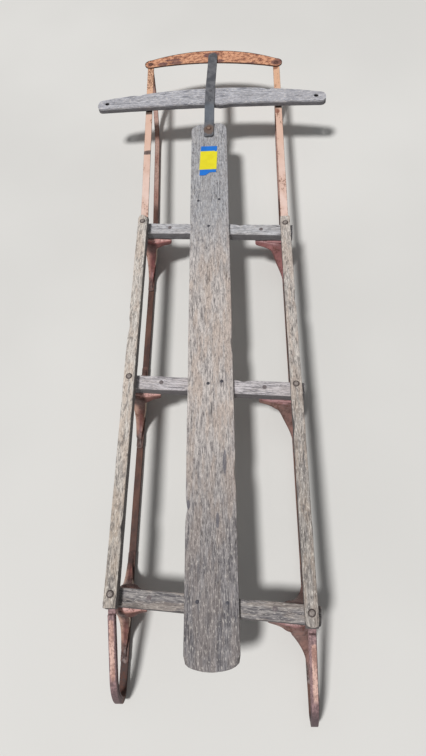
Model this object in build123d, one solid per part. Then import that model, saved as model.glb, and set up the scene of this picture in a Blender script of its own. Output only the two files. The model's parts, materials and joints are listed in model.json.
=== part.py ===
from build123d import *
import os
from math import asin, atan2, cos, degrees, hypot, radians, sin, tan

# A long, low runner sled of wood and steel, steered by a bar across its front.
# All lengths are in millimetres. +Y runs forward to the bumper, +X to the rider's right, +Z up.
# While it is built, Y = 0 is at the middle bench, X = 0 midway between the rails, Z = 0 on the ground.

# Frame of rails and benches
bench_spacing = 412.0
rail_gauge = 330.0
rack_angle = 5.2
rail_width = 22.0
rail_height = 23.0
rail_overhang = 21.5
notch_margin = 4.0
bench_depth = 30.0
bench_height = 22.0
bench_overhang = 17.0
bench_top = 129.0
edge_rounding = 1.5

# Deck board
deck_width = 91.0
deck_thickness = 10.0
deck_front = 765.0
deck_rear = -501.0
deck_rear_bow = 11.0
deck_corner = 24.0
deck_lean = 0.83
deck_offset = -2.9

# Runner section: a flange that carries the knees, and a narrow rib that meets the ground
flange_width = 14.0
flange_thickness = 3.0
rib_width = 10.0
rib_height = 8.0

# Rear loop, measured back from the rear rail bolt
loop_reach = 152.0
loop_shoulder = 62.0
loop_bend_top = 25.0
loop_bend_back = 58.0
loop_bend_low = 16.0
tang_lead = 12.0
front_margin = 1.0

# Knees: a pressed sheet that leans from the runner in under the bench, stiffened by a bead
foot_reach = 95.0
foot_edge = 8.0
foot_flange = 2.5
foot_upright = 3.0
foot_bend = 12.0
leg_waist_reach = 48.0
leg_waist_drop = 67.0
leg_neck_reach = 21.0
leg_neck_drop = 22.0
lean_land = 20.0
lean_bend = 24.0
bead_radius = 4.0
arm_reach = 66.0
arm_back = 8.0
arm_width = 42.0
arm_tip_width = 30.0
arm_taper = 22.0
arm_thickness = 2.5
arm_edge_depth = 16.0

# Flat strips that carry the bumper ahead of the rails
strip_width = 17.5
strip_thickness = 3.0

# Upturned nose of each runner
nose_gap = 2.0
nose_slope = 58.0
nose_bend = 232.0
nose_tab_bend = 13.0
nose_tab_back = 10.0
nose_tab_front = 9.0
nose_rib_runout = 2.0

# Bumper plate
bumper_x = -6.9
bumper_y = 1022.6
bumper_turn = 5.8
bumper_span = 357.4
bumper_end_width = 33.0
bumper_mid_width = 53.0
bumper_bow = 30.0
bumper_thickness = 3.5

# Steering strap and bar
pivot_y = 740.0
strap_end_x = -6.0
strap_end_y = 1048.0
strap_width = 25.4
strap_thickness = 4.0
strap_tail = 27.0
strap_bend = 15.0
strap_slope_start = 34.0
strap_slope_run = 44.0
strap_front_slope_run = 116.0
strap_on_bar_margin = 4.0
bar_y = 842.3
bar_turn = 2.9
bar_thickness = 15.0
bar_length = 608.0
bar_front_bow = 47.0
bar_front_end = 12.0
bar_rear_bow = 13.0
bar_rear_end = 20.0
bar_end_round = 14.0
bar_hole_inset = 25.2
bar_hole_radius = 6.0
bar_rounding = 3.0
bar_bolt_offsets = (-8.0, 32.0)
bar_lift = 5.2

# Fasteners and fits
bolt_radius = 4.0
bolt_head_radius = 6.5
bolt_head_height = 2.8
bar_bolt_radius = 3.0
bar_bolt_head_radius = 4.5
bar_bolt_head_height = 1.8
nut_radius = 8.0
nut_height = 6.0
washer_radius = 12.0
washer_thickness = 1.0
turning_gap = 0.3
pin_gap = 0.1
end_flat = 0.1
cut_margin = 20.0

# Levels and places that follow from the sizes above
half_gauge = rail_gauge / 2
rail_bottom = bench_top
rail_top = bench_top + rail_height
bench_bottom = bench_top - bench_height
arm_bottom = bench_bottom - arm_thickness
deck_top = bench_top + deck_thickness
runner_top = rib_height + flange_thickness
strip_bottom = bench_top + turning_gap
strip_top = strip_bottom + strip_thickness
notch_depth = strip_thickness + 2 * turning_gap
bumper_bottom = strip_top + turning_gap
bumper_top = bumper_bottom + bumper_thickness
strap_rear_bottom = deck_top + washer_thickness + turning_gap
strap_front_bottom = bumper_top + washer_thickness + turning_gap
bar_bottom = strip_top + bar_lift
bar_top = bar_bottom + bar_thickness

SIDES = {"left": -1, "right": 1}
ROWS = {"front": 1, "middle": 0, "rear": -1}


def side_lead(side):
    """How far one side of the racked frame stands ahead of the middle."""
    return -side * half_gauge * tan(radians(rack_angle))


def rail_bolt_place(side, row):
    return Vector(side * half_gauge, row * bench_spacing + side_lead(side), 0)


def deck_centre_x(y):
    return deck_offset - y * tan(radians(deck_lean))


def heading(start, end):
    """Angle about Z that turns +Y onto the line from start to end."""
    return degrees(atan2(start.X - end.X, end.Y - start.Y))


pivot_place = Vector(deck_centre_x(pivot_y), pivot_y, 0)
strap_end_place = Vector(strap_end_x, strap_end_y, 0)
strap_length = (strap_end_place - pivot_place).length
strap_heading = heading(pivot_place, strap_end_place)
bumper_frame = Location((bumper_x, bumper_y, 0), (0, 0, -bumper_turn))


def bumper_rivet_place(side):
    return bumper_frame * Location((side * bumper_span / 2, 0, 0))


def round_bar(radius, low, high, place):
    """A plain upright cylinder between two heights."""
    bar = Cylinder(radius, high - low, align=(Align.CENTER, Align.CENTER, Align.MIN))
    return Pos(place.X, place.Y, low) * bar


def domed_head(radius, height, low, place):
    """A shallow dome for a carriage bolt or rivet."""
    rim = height / 4
    crown = height - rim
    ball = (radius ** 2 + crown ** 2) / (2 * crown)
    halfway = asin(radius / ball) / 2
    outline = make_face([
        Line((0, 0), (radius, 0)),
        Line((radius, 0), (radius, rim)),
        ThreePointArc((radius, rim), (ball * sin(halfway), height - ball * (1 - cos(halfway))), (0, height)),
        Line((0, height), (0, 0)),
    ])
    return Pos(place.X, place.Y, low) * revolve(Plane.XZ * outline, Axis.Z)


def stadium(length_back, length_front, width, low, high):
    """A flat bar along +Y with rounded ends, from -length_back to length_front."""
    bar = Pos(0, (length_front - length_back) / 2, 0) * Rectangle(width, length_front + length_back)
    bar = fillet(bar.vertices(), width / 2 - end_flat)
    return Pos(0, 0, low) * extrude(bar, high - low)


def make_rail(side):
    length = 2 * bench_spacing + 2 * rail_overhang
    rail = Box(rail_width, length, rail_height, align=(Align.CENTER, Align.CENTER, Align.MIN))
    rail = fillet(rail.edges().filter_by(Axis.Y), edge_rounding)
    notch_length = rail_overhang + strip_width / 2 + notch_margin
    for end in (-1, 1):
        depth = notch_depth if end > 0 else flange_thickness
        notch = Box(rail_width, notch_length, depth, align=(Align.CENTER, Align.CENTER, Align.MIN))
        rail -= Pos(0, end * (length - notch_length) / 2, 0) * notch
    for row in ROWS.values():
        rail -= round_bar(bolt_radius, 0, rail_height, Vector(0, row * bench_spacing, 0))
    return Pos(side * half_gauge, side_lead(side), rail_bottom) * rail


def make_bench(row):
    length = (rail_gauge + 2 * bench_overhang) / cos(radians(rack_angle))
    bench = Box(length, bench_depth, bench_height, align=(Align.CENTER, Align.CENTER, Align.MIN))
    bench = fillet(bench.edges().filter_by(Axis.X), edge_rounding)
    bench = Location((0, row * bench_spacing, bench_bottom), (0, 0, -rack_angle)) * bench
    for side in SIDES.values():
        bench -= round_bar(bolt_radius, bench_bottom, bench_top, rail_bolt_place(side, row))
    return bench


def make_deck():
    half = deck_width / 2
    outline = make_face([
        Line((-half, deck_rear), (-half, deck_front)),
        Line((-half, deck_front), (half, deck_front)),
        Line((half, deck_front), (half, deck_rear)),
        ThreePointArc((half, deck_rear), (0, deck_rear - deck_rear_bow), (-half, deck_rear)),
    ])
    outline = fillet(outline.vertices().group_by(Axis.Y)[-1], deck_corner)
    board = extrude(outline, deck_thickness)
    board = Location((deck_offset, 0, bench_top), (0, 0, deck_lean)) * board
    return board - round_bar(bolt_radius, bench_top, deck_top, pivot_place)


def runner_section(path, forward=False):
    """T section at the start of a path in the YZ plane: flange above, rib below."""
    half_flange, half_rib = flange_width / 2, rib_width / 2
    half_thick = flange_thickness / 2
    outline = make_face(Polyline(
        (-half_flange, half_thick), (half_flange, half_thick), (half_flange, -half_thick),
        (half_rib, -half_thick), (half_rib, -half_thick - rib_height),
        (-half_rib, -half_thick - rib_height), (-half_rib, -half_thick),
        (-half_flange, -half_thick), close=True))
    along = 1 if forward else -1
    return Plane(origin=path @ 0, x_dir=(-along, 0, 0), z_dir=(0, along, 0)) * outline


def runner_front(side):
    """Where the stiff run on the ground ends and the nose begins."""
    return rail_bolt_place(side, ROWS["front"]).Y + foot_reach + front_margin


def make_runner(side):
    """The straight run on the ground and the loop that returns to the rear of the rail."""
    bolt = rail_bolt_place(side, ROWS["rear"])
    front_end = runner_front(side)
    low = rib_height + flange_thickness / 2
    high = bench_top + flange_thickness / 2
    back = bolt.Y - loop_reach
    path = FilletPolyline(
        (0, front_end, low), (0, back, low), (0, back, loop_shoulder),
        (0, bolt.Y - rail_overhang, high), (0, bolt.Y + tang_lead, high),
        radius=[loop_bend_low, loop_bend_back, loop_bend_top])
    runner = sweep(runner_section(path), path)
    bare_from = bolt.Y - rail_overhang - loop_bend_top / 2
    over_tang = Box(flange_width, bench_spacing, rail_height,
                    align=(Align.CENTER, Align.MIN, Align.MIN))
    runner -= Pos(0, bare_from, high + flange_thickness / 2) * over_tang
    runner = Pos(side * half_gauge, 0, 0) * runner
    return runner - round_bar(bolt_radius, bench_top, rail_top, bolt)


def make_nose(side):
    """The runner ahead of the front knee, which turns up to lie under the bumper's rivet."""
    start = Vector(side * half_gauge, runner_front(side) + nose_gap, 0)
    rivet = bumper_rivet_place(side).position
    reach = hypot(rivet.X - start.X, rivet.Y - start.Y)
    low = rib_height + flange_thickness / 2
    high = strip_bottom - flange_thickness / 2
    knuckle = reach - nose_tab_back
    toe = knuckle - (high - low) / tan(radians(nose_slope))
    path = FilletPolyline(
        (0, 0, low), (0, toe, low), (0, knuckle, high), (0, reach + nose_tab_front, high),
        radius=[nose_bend, nose_tab_bend])
    nose = sweep(runner_section(path, forward=True), path)
    below_tab = Box(flange_width, nose_tab_front + nose_tab_back, nose_bend,
                    align=(Align.CENTER, Align.MIN, Align.MAX))
    nose -= Pos(0, knuckle + nose_rib_runout, high - flange_thickness / 2) * below_tab
    return Location((start.X, start.Y, 0), (0, 0, heading(start, rivet))) * nose


def make_strip(side):
    bolt = rail_bolt_place(side, ROWS["front"])
    rivet = bumper_rivet_place(side).position
    length = hypot(rivet.X - bolt.X, rivet.Y - bolt.Y)
    strip = stadium(strip_width / 2, length + strip_width / 2, strip_width, strip_bottom, strip_top)
    strip -= round_bar(bolt_radius + pin_gap, strip_bottom, strip_top, Vector(0, 0, 0))
    return Location((bolt.X, bolt.Y, 0), (0, 0, heading(bolt, rivet))) * strip


def arm_outline(side, inset):
    """The arm's outline, drawn in all round by inset: tapered and rounded towards its inner tip."""
    inner = -side
    wide, narrow = arm_width / 2 - inset, arm_tip_width / 2 - inset
    back = inner * (inset - arm_back)
    taper_start = inner * (arm_reach - arm_taper)
    tip_centre = inner * (arm_reach - arm_tip_width / 2)
    return make_face([
        Line((back, -wide), (taper_start, -wide)),
        Line((taper_start, -wide), (tip_centre, -narrow)),
        ThreePointArc((tip_centre, -narrow), (inner * (arm_reach - inset), 0), (tip_centre, narrow)),
        Line((tip_centre, narrow), (taper_start, wide)),
        Line((taper_start, wide), (back, wide)),
        Line((back, wide), (back, -wide)),
    ])


def make_knee_arm(side):
    """The arm under the bench, with its edges turned down from the leg to the tip."""
    plate = Pos(0, 0, arm_bottom) * extrude(arm_outline(side, 0), arm_thickness)
    turned = extrude(arm_outline(side, 0), arm_edge_depth)
    turned -= extrude(arm_outline(side, arm_thickness), arm_edge_depth)
    corner = arm_reach - arm_taper / 2 - lean_land
    start = corner * (1 - arm_edge_depth / (arm_bottom - runner_top))
    ahead = Pos(-side * (start + arm_reach / 2), 0, 0) * Box(
        arm_reach, arm_width, arm_edge_depth, align=(Align.CENTER, Align.CENTER, Align.MIN))
    return plate + Pos(0, 0, arm_bottom - arm_edge_depth) * (turned & ahead)


def make_knee_leg(side):
    """The leaning sheet with its flared foot, cut from a bent strip, and the bead up its middle."""
    inner = -side
    arm_middle = arm_bottom + arm_thickness / 2
    land_end = arm_reach - arm_taper / 2
    path = FilletPolyline(
        (0, 0, runner_top), (0, 0, runner_top + foot_upright),
        (inner * (land_end - lean_land), 0, arm_middle), (inner * land_end, 0, arm_middle),
        radius=[foot_bend, lean_bend])
    start = Plane(origin=path @ 0, x_dir=(0, 1, 0), z_dir=(0, 0, 1))
    sheet = sweep(start * Rectangle(2 * foot_reach, arm_thickness), path)
    foot_high, neck_high = runner_top + foot_edge, arm_bottom - leg_neck_drop
    waist = (leg_waist_reach, arm_bottom - leg_waist_drop)
    half_arm = arm_width / 2
    outline = make_face([
        Line((-foot_reach, runner_top), (foot_reach, runner_top)),
        Line((foot_reach, runner_top), (foot_reach, foot_high)),
        ThreePointArc((foot_reach, foot_high), waist, (leg_neck_reach, neck_high)),
        Line((leg_neck_reach, neck_high), (half_arm, bench_bottom)),
        Line((half_arm, bench_bottom), (-half_arm, bench_bottom)),
        Line((-half_arm, bench_bottom), (-leg_neck_reach, neck_high)),
        ThreePointArc((-leg_neck_reach, neck_high), (-waist[0], waist[1]), (-foot_reach, foot_high)),
        Line((-foot_reach, foot_high), (-foot_reach, runner_top)),
    ])
    leg = sheet & extrude(Plane.YZ * outline, arm_reach, both=True)
    bead = sweep(start * Circle(bead_radius), path)
    keep = Box(2 * arm_reach, 2 * foot_reach, bench_bottom - runner_top - foot_flange,
               align=(Align.CENTER, Align.CENTER, Align.MIN))
    bead &= Pos(0, 0, runner_top + foot_flange) * keep
    return leg + bead


def make_knee(side, row):
    """One knee: its arm follows the bench, and its foot follows the runner."""
    bolt = rail_bolt_place(side, row)
    arm = Location((bolt.X, bolt.Y, 0), (0, 0, -rack_angle)) * make_knee_arm(side)
    foot = Pos(0, 0, runner_top) * Box(
        flange_width, 2 * foot_reach, foot_flange, align=(Align.CENTER, Align.CENTER, Align.MIN))
    stand = Pos(bolt.X, bolt.Y, 0) * (make_knee_leg(side) + foot)
    return (arm + stand) - round_bar(bolt_radius, arm_bottom, bench_bottom, bolt)


def make_rail_bolt(side, row):
    bolt = rail_bolt_place(side, row)
    return round_bar(bolt_radius, arm_bottom, rail_top, bolt) + domed_head(
        bolt_head_radius, bolt_head_height, rail_top, bolt)


def make_bumper():
    half, end = bumper_span / 2, bumper_end_width / 2
    front, rear = bumper_bow + bumper_mid_width / 2, bumper_bow - bumper_mid_width / 2
    outline = make_face([
        ThreePointArc((-half, end), (0, front), (half, end)),
        ThreePointArc((half, end), (half + end, 0), (half, -end)),
        ThreePointArc((half, -end), (0, rear), (-half, -end)),
        ThreePointArc((-half, -end), (-half - end, 0), (-half, end)),
    ])
    plate = extrude(outline, bumper_thickness)
    plate = bumper_frame * (Pos(0, 0, bumper_bottom) * plate)
    return plate - round_bar(bolt_radius, bumper_bottom, bumper_top, strap_end_place)


def make_strap():
    """The steel strap: flat on the deck, up over the bar, and down to the bumper."""
    half = strap_thickness / 2
    rear, mid, front = strap_rear_bottom + half, bar_top + half, strap_front_bottom + half
    bar_at = bar_y - pivot_y
    top_start = strap_slope_start + strap_slope_run
    top_end = bar_at + bar_front_bow + strap_on_bar_margin
    tip = strap_length + strap_width / 2
    path = FilletPolyline(
        (0, -strap_tail, rear), (0, strap_slope_start, rear), (0, top_start, mid),
        (0, top_end, mid), (0, top_end + strap_front_slope_run, front), (0, tip, front),
        radius=strap_bend)
    start = Plane(origin=path @ 0, x_dir=(1, 0, 0), z_dir=(0, 1, 0))
    strap = sweep(start * Rectangle(strap_width, strap_thickness), path)
    strap &= stadium(strap_tail, tip, strap_width, strap_front_bottom - cut_margin, bar_top + cut_margin)
    strap = Location((pivot_place.X, pivot_place.Y, 0), (0, 0, strap_heading)) * strap
    for place in (pivot_place, strap_end_place):
        strap -= round_bar(bolt_radius + pin_gap, strap_front_bottom - cut_margin, bar_top, place)
    for place in bar_bolt_places():
        strap -= round_bar(bar_bolt_radius, bar_top, bar_top + strap_thickness, place)
    return strap


def strap_point(distance):
    return pivot_place + (strap_end_place - pivot_place) * (distance / strap_length)


def bar_bolt_places():
    return [strap_point(bar_y - pivot_y + offset) for offset in bar_bolt_offsets]


def make_bar():
    half = bar_length / 2
    outline = make_face([
        ThreePointArc((-half, bar_front_end), (0, bar_front_bow), (half, bar_front_end)),
        Line((half, bar_front_end), (half, -bar_rear_end)),
        ThreePointArc((half, -bar_rear_end), (0, -bar_rear_bow), (-half, -bar_rear_end)),
        Line((-half, -bar_rear_end), (-half, bar_front_end)),
    ])
    bar = extrude(fillet(outline.vertices(), bar_end_round), bar_thickness)
    bar = fillet(bar.edges().group_by(Axis.Z)[-1], bar_rounding)
    for side in SIDES.values():
        bar -= round_bar(bar_hole_radius, 0, bar_thickness, Vector(side * (half - bar_hole_inset), 0, 0))
    middle = strap_point(bar_y - pivot_y)
    bar = Location((middle.X, bar_y, bar_bottom), (0, 0, -bar_turn)) * bar
    for place in bar_bolt_places():
        bar -= round_bar(bar_bolt_radius, bar_bottom, bar_top, place)
    return bar


def make_bar_bolt(place):
    return round_bar(bar_bolt_radius, bar_bottom, bar_top + strap_thickness, place) + domed_head(
        bar_bolt_head_radius, bar_bolt_head_height, bar_top + strap_thickness, place)


def make_pivot_bolt():
    top = strap_rear_bottom + strap_thickness + turning_gap
    shank = round_bar(bolt_radius, bench_top, top, pivot_place)
    head = domed_head(bolt_head_radius, bolt_head_height, top, pivot_place)
    nut = Pos(pivot_place.X, pivot_place.Y, bench_top - nut_height) * extrude(
        RegularPolygon(nut_radius, 6), nut_height)
    return shank + head + nut


def make_bumper_pivot():
    top = strap_front_bottom + strap_thickness + turning_gap
    shank = round_bar(bolt_radius, bumper_bottom, top, strap_end_place)
    return shank + domed_head(bolt_head_radius, bolt_head_height / 2, top, strap_end_place)


def make_washer(low, place):
    ring = round_bar(washer_radius, low, low + washer_thickness, place)
    return ring - round_bar(bolt_radius, low, low + washer_thickness, place)


def all_nodes():
    nodes = {"deck_board": make_deck()}
    for row_name, row in ROWS.items():
        nodes[f"bench_{row_name}"] = make_bench(row)
    for side_name, side in SIDES.items():
        nodes[f"rail_{side_name}"] = make_rail(side)
        nodes[f"runner_{side_name}"] = make_runner(side)
        nodes[f"runner_nose_{side_name}"] = make_nose(side)
        nodes[f"front_strip_{side_name}"] = make_strip(side)
        for row_name, row in ROWS.items():
            nodes[f"knee_{row_name}_{side_name}"] = make_knee(side, row)
            nodes[f"rail_bolt_{row_name}_{side_name}"] = make_rail_bolt(side, row)
    nodes["bumper"] = make_bumper()
    nodes["bumper_washer"] = make_washer(bumper_top, strap_end_place)
    nodes["bumper_pivot"] = make_bumper_pivot()
    nodes["steering_strap"] = make_strap()
    nodes["handlebar"] = make_bar()
    for name, place in zip(("rear", "front"), bar_bolt_places()):
        nodes[f"handlebar_bolt_{name}"] = make_bar_bolt(place)
    nodes["deck_washer"] = make_washer(deck_top, pivot_place)
    nodes["deck_pivot_bolt"] = make_pivot_bolt()
    return nodes


nodes = all_nodes()
boxes = [solid.bounding_box() for solid in nodes.values()]
low_corner = Vector(*(min(getattr(box.min, axis) for box in boxes) for axis in "XYZ"))
high_corner = Vector(*(max(getattr(box.max, axis) for box in boxes) for axis in "XYZ"))
centring = Vector(-(low_corner.X + high_corner.X) / 2, -(low_corner.Y + high_corner.Y) / 2, -low_corner.Z)

os.makedirs("parts", exist_ok=True)
for name, solid in nodes.items():
    export_step(Pos(centring.X, centring.Y, centring.Z) * solid, f"parts/{name}.step")

print("size", high_corner - low_corner)
axes = {"steering": pivot_place, "bumper": strap_end_place}
axes.update({f"{name} strip": rail_bolt_place(side, ROWS["front"]) for name, side in SIDES.items()})
for name, place in axes.items():
    print(name, "axis", place + centring)
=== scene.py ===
import json
from math import atan2, cos, degrees, hypot, pi, radians, sin, sqrt, tan

import bmesh
import bpy
from mathutils import Matrix, Vector


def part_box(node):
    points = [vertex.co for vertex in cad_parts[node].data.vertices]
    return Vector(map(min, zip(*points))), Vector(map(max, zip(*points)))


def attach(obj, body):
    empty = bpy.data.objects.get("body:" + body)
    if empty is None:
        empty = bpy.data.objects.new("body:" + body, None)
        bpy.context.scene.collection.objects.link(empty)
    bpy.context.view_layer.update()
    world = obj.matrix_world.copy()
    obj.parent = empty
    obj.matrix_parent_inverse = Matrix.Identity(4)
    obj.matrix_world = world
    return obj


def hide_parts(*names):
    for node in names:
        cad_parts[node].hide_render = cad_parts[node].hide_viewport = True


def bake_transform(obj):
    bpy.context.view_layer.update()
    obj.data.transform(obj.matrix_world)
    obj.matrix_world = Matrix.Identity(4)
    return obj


# The looks of a long steerable runner sled: worn boards, pressed steel knees, T-section runners,
# a painted bumper and a steering strap. Each piece is modelled in millimetres about a place of its
# own, and then settled into the shared frame in metres. +Y is ahead, +X is the rider's right.

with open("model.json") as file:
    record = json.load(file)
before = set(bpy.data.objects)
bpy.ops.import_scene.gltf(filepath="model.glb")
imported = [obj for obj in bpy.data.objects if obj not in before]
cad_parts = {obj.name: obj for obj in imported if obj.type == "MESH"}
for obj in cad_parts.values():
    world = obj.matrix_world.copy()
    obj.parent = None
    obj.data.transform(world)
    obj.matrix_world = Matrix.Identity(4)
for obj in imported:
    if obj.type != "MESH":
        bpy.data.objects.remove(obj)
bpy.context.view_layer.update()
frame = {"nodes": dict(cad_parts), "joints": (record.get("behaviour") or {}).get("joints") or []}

MM = 0.001
SIDES = {"left": -1, "right": 1}
ROWS = ("front", "middle", "rear")


def node_middle(name):
    low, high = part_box(name)
    return (low + high) / 2 / MM


BOLTS = {(side, row): node_middle(f"rail_bolt_{row}_{side}") for side in SIDES for row in ROWS}
SLED_MIDDLE = sum(BOLTS.values(), Vector()) / len(BOLTS)
JOINT_PLACES = {joint["name"]: Vector(joint["pos_m"]) / MM for joint in frame["joints"]}

# Directions about the upright, in degrees
RACKING = -5.2
DECK_LEAN = 0.83
BAR_TURN = -2.9
BUMPER_TURN = -5.8

# The rivets that hold the bumper's two ends
BUMPER_HALF = 178.7
BUMPER_MIDDLE = Vector((SLED_MIDDLE.x - 6.9, SLED_MIDDLE.y + 1022.6, 0))
BUMPER_ALONG = Matrix.Rotation(radians(BUMPER_TURN), 3, "Z")
RIVETS = {side: BUMPER_MIDDLE + BUMPER_ALONG @ Vector((sense * BUMPER_HALF, 0, 0))
          for side, sense in SIDES.items()}

# Heights above the ground
GROUND_FLANGE = 9.5
RUNNER_TOP = 11.0
ARM_BOTTOM = 104.5
BENCH_BOTTOM = 107.0
BENCH_TOP = 129.0
STRIP_BOTTOM = 129.3
BUMPER_BOTTOM = 132.6
BAR_BOTTOM = 137.5
DECK_TOP = 139.0


# Modelling by hand

def new_object(name, data):
    made = bpy.data.objects.new(name, data)
    bpy.context.scene.collection.objects.link(made)
    return made


def clear_choice():
    """Back to object mode with nothing chosen."""
    if bpy.context.mode != "OBJECT":
        bpy.ops.object.mode_set(mode="OBJECT")
    bpy.ops.object.select_all(action="DESELECT")


def choose(piece):
    clear_choice()
    piece.select_set(True)
    bpy.context.view_layer.objects.active = piece


def edit(piece, kind="VERT"):
    choose(piece)
    bpy.ops.object.mode_set(mode="EDIT")
    bpy.ops.mesh.select_mode(type=kind)
    bpy.ops.mesh.select_all(action="SELECT")


def pick(test, kind="VERT"):
    """In edit mode, selects the points, edges or faces for which test(place, direction) holds."""
    bpy.ops.mesh.select_mode(type=kind)
    bpy.ops.mesh.select_all(action="DESELECT")
    mesh = bmesh.from_edit_mesh(bpy.context.object.data)
    if kind == "VERT":
        found = [point for point in mesh.verts if test(point.co, point.normal)]
    elif kind == "EDGE":
        found = [edge for edge in mesh.edges
                 if test((edge.verts[0].co + edge.verts[1].co) / 2, edge.verts[1].co - edge.verts[0].co)]
    else:
        found = [face for face in mesh.faces if test(face.calc_center_median(), face.normal)]
    for part in found:
        part.select_set(True)
    mesh.select_flush_mode()
    bmesh.update_edit_mesh(bpy.context.object.data)


def added(name, size=(1, 1, 1), turn=(0, 0, 0)):
    """Names the piece in hand, and puts its size and place into its mesh."""
    piece = bpy.context.object
    piece.name = piece.data.name = name
    piece.scale = size
    piece.rotation_euler = turn
    bpy.ops.object.transform_apply(location=True, rotation=True, scale=True)
    return piece


def block(name, size, middle):
    clear_choice()
    bpy.ops.mesh.primitive_cube_add(size=1, location=middle)
    return added(name, size)


def plate(name, width, height, middle, upright=False):
    """A flat rectangle, lying, or upright across the run."""
    clear_choice()
    bpy.ops.mesh.primitive_plane_add(size=1, location=middle)
    return added(name, (width, height, 1), (pi / 2 if upright else 0, 0, 0))


def pin(name, sides, radius, height, foot):
    """A plain cylinder that stands on its foot."""
    clear_choice()
    bpy.ops.mesh.primitive_cylinder_add(vertices=sides, radius=radius, depth=height,
                                        location=(foot[0], foot[1], foot[2] + height / 2))
    return added(name)


def push(move):
    bpy.ops.transform.translate(value=move)


def stretch(value, about):
    bpy.ops.transform.resize(value=value, center_override=about)


def drag(move, reach, falloff="SMOOTH"):
    """Moves what is chosen, and what lies within reach a little less."""
    bpy.ops.transform.translate(value=move, use_proportional_edit=True,
                                proportional_edit_falloff=falloff, proportional_size=reach)


def extrude(move):
    bpy.ops.mesh.extrude_region_move(TRANSFORM_OT_translate={"value": move})


def slice_at(piece, axis, places):
    """Cuts the whole piece across an axis, so that it can be shaped between the cuts."""
    edit(piece)
    normal = Vector([float(i == axis) for i in range(3)])
    for place in places:
        bpy.ops.mesh.select_all(action="SELECT")
        bpy.ops.mesh.bisect(plane_co=normal * place, plane_no=normal)


def even(low, high, count):
    """The cuts that part low to high into that many equal strips."""
    return [low + (high - low) * (i + 1) / count for i in range(count - 1)]


def modify(piece, kind, **settings):
    choose(piece)
    modifier = piece.modifiers.new(kind.title(), kind)
    for name, value in settings.items():
        setattr(modifier, name, value)
    bpy.ops.object.modifier_apply(modifier=modifier.name)


def ease_edges(piece, width, segments=2, angle=40):
    modify(piece, "BEVEL", width=width, segments=segments, limit_method="ANGLE", angle_limit=radians(angle))


def mend(piece):
    """Merges what lies on the same place and turns every face outwards."""
    edit(piece)
    bpy.ops.mesh.remove_doubles(threshold=0.01)
    bpy.ops.mesh.normals_make_consistent(inside=False)


def roughen(piece, strength, size, along, seed, axis=1, direction="NORMAL"):
    """Small moves of the surface after a cloud pattern, drawn out along the grain."""
    guide = new_object("guide", None)
    guide.scale = [size * (along if i == axis else 1.0) for i in range(3)]
    guide.location = (seed * 37.0, seed * 91.0, seed * 53.0)
    bpy.context.view_layer.update()
    clouds = bpy.data.textures.new("clouds", "CLOUDS")
    clouds.noise_scale = 1.0
    clouds.noise_depth = 3
    modify(piece, "DISPLACE", texture=clouds, texture_coords="OBJECT", texture_coords_object=guide,
           strength=strength, mid_level=0.5, direction=direction)
    bpy.data.objects.remove(guide)
    bpy.data.textures.remove(clouds)


def chip(piece, spots):
    """Presses in the nearest point of each spot: (place, move, reach)."""
    edit(piece)
    for place, move, reach in spots:
        mesh = bmesh.from_edit_mesh(piece.data)
        nearest = min(mesh.verts, key=lambda point: (point.co - Vector(place)).length)
        target = nearest.co.copy()
        pick(lambda p, n: (p - target).length < 1e-4)
        drag(move, reach)


def smooth(piece, angle=35):
    choose(piece)
    bpy.ops.object.shade_smooth_by_angle(angle=radians(angle))


def mark(piece, name, rule):
    """A number at each point after its place, for the finish to read."""
    clear_choice()
    layer = piece.data.attributes.new(name, "FLOAT", "POINT")
    for point, value in zip(piece.data.vertices, layer.data):
        value.value = rule(point.co)


def joined(name, pieces):
    clear_choice()
    for piece in pieces:
        piece.select_set(True)
    bpy.context.view_layer.objects.active = pieces[0]
    bpy.ops.object.join()
    return added(name)


def settle(piece, place, turn=0.0):
    """Turns a finished piece about its upright, and moves it to its place, in millimetres."""
    choose(piece)
    piece.matrix_world = (Matrix.Scale(MM, 4) @ Matrix.Translation(Vector(place))
                          @ Matrix.Rotation(radians(turn), 4, "Z"))
    bpy.ops.object.transform_apply(location=True, rotation=True, scale=True)


def copy_of(piece, name):
    clear_choice()
    twin = new_object(name, piece.data.copy())
    twin.data.name = name
    return twin


def fit(piece, body, finish, slot, *stands_for):
    piece.data.materials.clear()
    piece.data.materials.append(finish)
    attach(piece, body)
    if stands_for:
        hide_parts(*stands_for)


class Run:
    """A section that is pushed along straights and bends. Its leading faces stay selected."""

    def __init__(self, piece, place, ahead):
        edit(piece, "FACE")
        self.place = Vector(place)
        self.ahead = Vector(ahead)

    def straight(self, length, steps=1):
        for _ in range(steps):
            move = self.ahead * (length / steps)
            extrude(move)
            self.place += move

    def bend(self, radius, angle, axis, steps):
        """Turns by angle degrees, right-handed about axis."""
        sense = 1 if angle > 0 else -1
        centre = self.place + Vector(axis).cross(self.ahead) * radius * sense
        bpy.ops.mesh.spin(steps=steps, angle=-radians(angle), center=centre, axis=axis)
        turn = Matrix.Rotation(radians(angle), 3, Vector(axis))
        self.place = centre + turn @ (self.place - centre)
        self.ahead = turn @ self.ahead

    def rings(self, steps, share):
        """Each ring is (step, width as a share of the full one). The width before them is share."""
        for step, wide in steps:
            self.straight(step)
            stretch((wide / share, 1, 1), self.place)
            share = wide
        return share


def way(start, end):
    """How far end is from start in plan, and in which direction, in degrees from ahead."""
    return hypot(end.x - start.x, end.y - start.y), degrees(atan2(start.x - end.x, end.y - start.y))


def tangent(radius, angle):
    """How much of each straight a bend of that many degrees takes."""
    return radius * tan(radians(angle / 2))


def round_end(radius, tip):
    """A round end as rings, down to the tip's share of the full width."""
    angles = [pi / 2 * i / 5 for i in range(6)]
    return [(radius * (sin(here) - sin(before)), max(cos(here), tip))
            for before, here in zip(angles, angles[1:])]


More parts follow.
